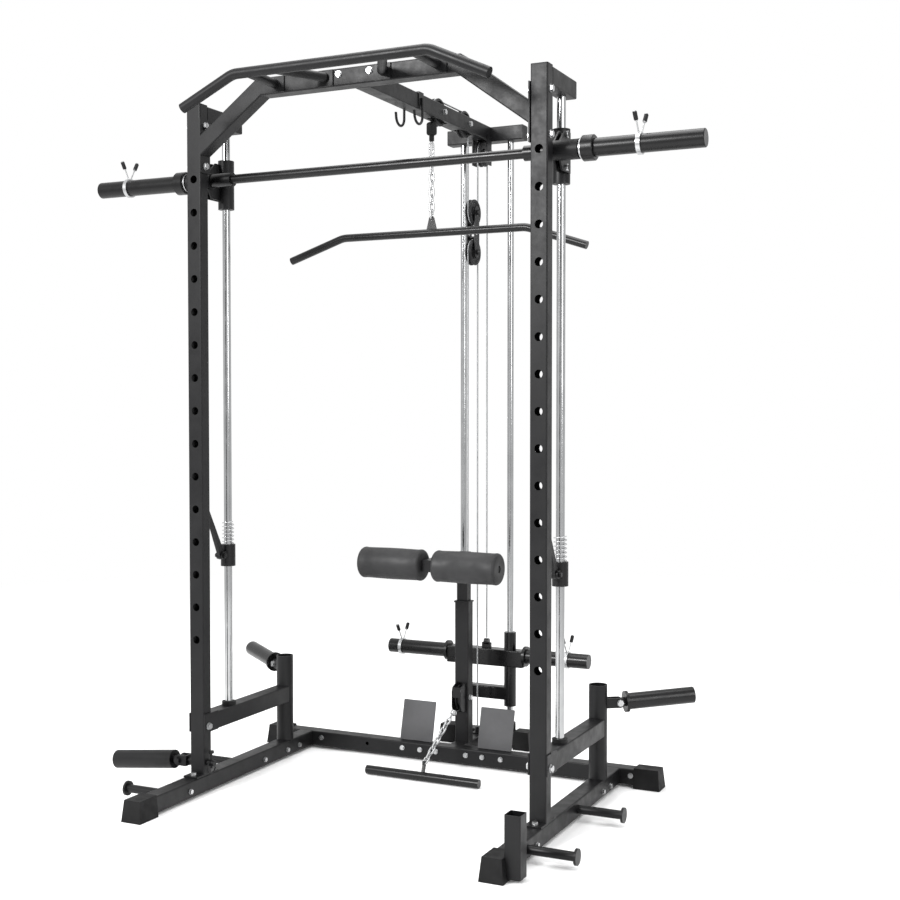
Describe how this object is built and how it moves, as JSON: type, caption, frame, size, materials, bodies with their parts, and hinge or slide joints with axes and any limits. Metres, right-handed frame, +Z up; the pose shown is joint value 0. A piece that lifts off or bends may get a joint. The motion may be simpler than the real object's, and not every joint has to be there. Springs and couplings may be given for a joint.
{
  "type": "power cage",
  "caption": "Power cage with front uprights, pull-up arch, Smith bar on guide rods, plate-loaded lat tower, low row, leg rollers, landmine and storage posts.",
  "frame": {"origin": "on the floor at the middle of the footprint's bounding box", "axes": "+X to the user's right when facing the machine from the front, +Y to the back, +Z up"},
  "size_m": [1.976, 1.285, 2.174],
  "materials": {
    "black": "satin black powder coat",
    "chrome": "polished",
    "zinc": "zinc plated",
    "cable": "coated wire rope",
    "rubber": "matt",
    "plastic": "moulded, matt",
    "foam": "closed-cell foam",
    "plate_grey": "mid-grey powder coat"
  },
  "bodies": {
    "frame": {"base_side_beams": "black", "socket_tube": "black", "rear_crossbeam": "black", "lat_base_frame": "black", "upright_left": "black", "upright_right": "black", "side_supports": "black", "band_pegs": "black", "arch_beam": "black", "arch_braces": "black", "top_side_beams": "black", "lat_beam": "black", "pull_up_bar": "black", "sling_hooks": "black", "centre_column": "black", "pulley_brackets": "black", "guide_rods": "chrome", "frame_bolts": "zinc", "foot_caps": "rubber", "rod_bumpers": "rubber", "tube_plugs": "plastic", "foot_plates": "plate_grey", "guided_cables": "cable", "plate_holders": "black"},
    "smith_carriage": {"smith_carriages": "black"},
    "smith_barbell": {"smith_bar": "black", "smith_hooks": "black"},
    "clip_smith_l": {"clip_smith_left": "zinc"},
    "clip_smith_r": {"clip_smith_right": "zinc"},
    "stop_left": {"safety_stop_left": "black", "safety_spring_left": "zinc"},
    "stop_right": {"safety_stop_right": "black", "safety_spring_right": "zinc"},
    "stop_hook_left": {"safety_hook_left": "black"},
    "stop_hook_right": {"safety_hook_right": "black"},
    "lat_pull_end": {"ball_stop": "rubber"},
    "lat_handle": {"lat_chain": "zinc", "lat_bar": "black"},
    "weight_carriage": {"carriage_frame": "black", "cable_run_carriage": "cable"},
    "clip_carriage_l": {"clip_carriage_left": "zinc"},
    "clip_carriage_r": {"clip_carriage_right": "zinc"},
    "block": {"floating_block": "black", "block_cables": "cable", "cable_run_middle": "cable", "cable_run_rear": "cable", "cable_runs_low": "cable"},
    "block_wheel_upper": {"block_pulley_upper": "plastic"},
    "block_wheel_lower": {"block_pulley_lower": "plastic"},
    "wheel_front": {"pulley_front": "plastic"},
    "wheel_middle": {"pulley_middle": "plastic"},
    "wheel_rear": {"pulley_rear": "plastic"},
    "wheel_low": {"pulley_low": "plastic"},
    "low_handle": {"low_bar": "black", "low_chain": "zinc"},
    "post": {"roller_post": "black"},
    "roller_l": {"leg_roller_left": "foam"},
    "roller_r": {"leg_roller_right": "foam"},
    "landmine_base": {"landmine_swivel": "black"},
    "landmine_arm": {"landmine_tube": "black"}
  },
  "joints": [
    {"name": "smith_travel", "type": "slide", "parent": "frame", "child": "smith_carriage", "axis": [0, 0, 1], "range_m": [-0.975, 0.085]},
    {"name": "smith_bar_turn", "type": "hinge", "parent": "smith_carriage", "child": "smith_barbell", "pos_m": [0, -0.226, 1.885], "axis": [1, 0, 0], "range_deg": [0, 75]},
    {"name": "clip_smith_left_slide", "type": "slide", "parent": "smith_barbell", "child": "clip_smith_l", "axis": [-1, 0, 0], "range_m": [-0.165, 0.1]},
    {"name": "clip_smith_right_slide", "type": "slide", "parent": "smith_barbell", "child": "clip_smith_r", "axis": [1, 0, 0], "range_m": [-0.1, 0.165]},
    {"name": "safety_left_travel", "type": "slide", "parent": "frame", "child": "stop_left", "axis": [0, 0, 1], "range_m": [-0.42, 0.95]},
    {"name": "safety_right_travel", "type": "slide", "parent": "frame", "child": "stop_right", "axis": [0, 0, 1], "range_m": [-0.42, 0.95]},
    {"name": "safety_left_hook", "type": "hinge", "parent": "stop_left", "child": "stop_hook_left", "pos_m": [-0.56, -0.188, 0.722], "axis": [1, 0, 0], "range_deg": [-16, 0]},
    {"name": "safety_right_hook", "type": "hinge", "parent": "stop_right", "child": "stop_hook_right", "pos_m": [0.56, -0.188, 0.722], "axis": [1, 0, 0], "range_deg": [-16, 0]},
    {"name": "lat_pull", "type": "slide", "parent": "frame", "child": "lat_pull_end", "axis": [0, 0, -1], "range_m": [0, 0.85]},
    {"name": "lat_bar_swivel", "type": "hinge", "parent": "lat_pull_end", "child": "lat_handle", "pos_m": [0, 0.174, 2.032], "axis": [0, 0, 1], "range_deg": [-45, 45]},
    {"name": "weight_carriage_travel", "type": "slide", "parent": "frame", "child": "weight_carriage", "axis": [0, 0, 1], "range_m": [0, 0.85], "deforming": ["cable_run_carriage"]},
    {"name": "clip_carriage_left_slide", "type": "slide", "parent": "weight_carriage", "child": "clip_carriage_l", "axis": [-1, 0, 0], "range_m": [-0.14, 0.06]},
    {"name": "clip_carriage_right_slide", "type": "slide", "parent": "weight_carriage", "child": "clip_carriage_r", "axis": [1, 0, 0], "range_m": [-0.11, 0.09]},
    {"name": "low_pull", "type": "slide", "parent": "frame", "child": "low_handle", "axis": [0, -1, 0], "range_m": [0, 0.6]},
    {"name": "block_travel", "type": "slide", "parent": "frame", "child": "block", "axis": [0, 0, -1], "range_m": [0, 0.3], "deforming": ["cable_run_middle", "cable_run_rear", "cable_runs_low"]},
    {"name": "block_upper_turn", "type": "hinge", "parent": "block", "child": "block_wheel_upper", "pos_m": [0, 0.492, 1.848], "axis": [1, 0, 0], "range_deg": [-1500, 1500]},
    {"name": "block_lower_turn", "type": "hinge", "parent": "block", "child": "block_wheel_lower", "pos_m": [0, 0.492, 1.714], "axis": [1, 0, 0], "range_deg": [-1500, 1500]},
    {"name": "front_pulley_turn", "type": "hinge", "parent": "frame", "child": "wheel_front", "pos_m": [0, 0.214, 2.13], "axis": [1, 0, 0], "range_deg": [-1500, 1500]},
    {"name": "middle_pulley_turn", "type": "hinge", "parent": "frame", "child": "wheel_middle", "pos_m": [0, 0.412, 2.13], "axis": [1, 0, 0], "range_deg": [-1500, 1500]},
    {"name": "rear_pulley_turn", "type": "hinge", "parent": "frame", "child": "wheel_rear", "pos_m": [0, 0.572, 2.06], "axis": [1, 0, 0], "range_deg": [-1500, 1500]},
    {"name": "low_pulley_turn", "type": "hinge", "parent": "frame", "child": "wheel_low", "pos_m": [0, 0.412, 0.209], "axis": [1, 0, 0], "range_deg": [-1500, 1500]},
    {"name": "roller_height", "type": "slide", "parent": "frame", "child": "post", "axis": [0, 0, 1], "range_m": [-0.1, 0.06]},
    {"name": "roller_left_spin", "type": "hinge", "parent": "post", "child": "roller_l", "pos_m": [-0.136, 0.159, 0.681], "axis": [1, 0, 0], "continuous": true},
    {"name": "roller_right_spin", "type": "hinge", "parent": "post", "child": "roller_r", "pos_m": [0.136, 0.159, 0.681], "axis": [1, 0, 0], "continuous": true},
    {"name": "landmine_roll", "type": "hinge", "parent": "frame", "child": "landmine_base", "pos_m": [-0.6, -0.3, 0.096], "axis": [1, 0, 0], "range_deg": [-60, 60]},
    {"name": "landmine_lift", "type": "hinge", "parent": "landmine_base", "child": "landmine_arm", "pos_m": [-0.634, -0.3, 0.096], "axis": [0, 1, 0], "range_deg": [0, 95]}
  ],
  "couplings": [
    {"joint": "lat_pull", "follows": "weight_carriage_travel", "ratio": 1},
    {"joint": "front_pulley_turn", "follows": "weight_carriage_travel", "rad_per_m": 25},
    {"joint": "middle_pulley_turn", "follows": "weight_carriage_travel", "rad_per_m": 25},
    {"joint": "rear_pulley_turn", "follows": "weight_carriage_travel", "rad_per_m": 25},
    {"joint": "block_upper_turn", "follows": "weight_carriage_travel", "rad_per_m": -25},
    {"joint": "low_pull", "follows": "block_travel", "ratio": 2},
    {"joint": "low_pulley_turn", "follows": "block_travel", "rad_per_m": -50},
    {"joint": "block_lower_turn", "follows": "block_travel", "rad_per_m": 25}
  ]
}
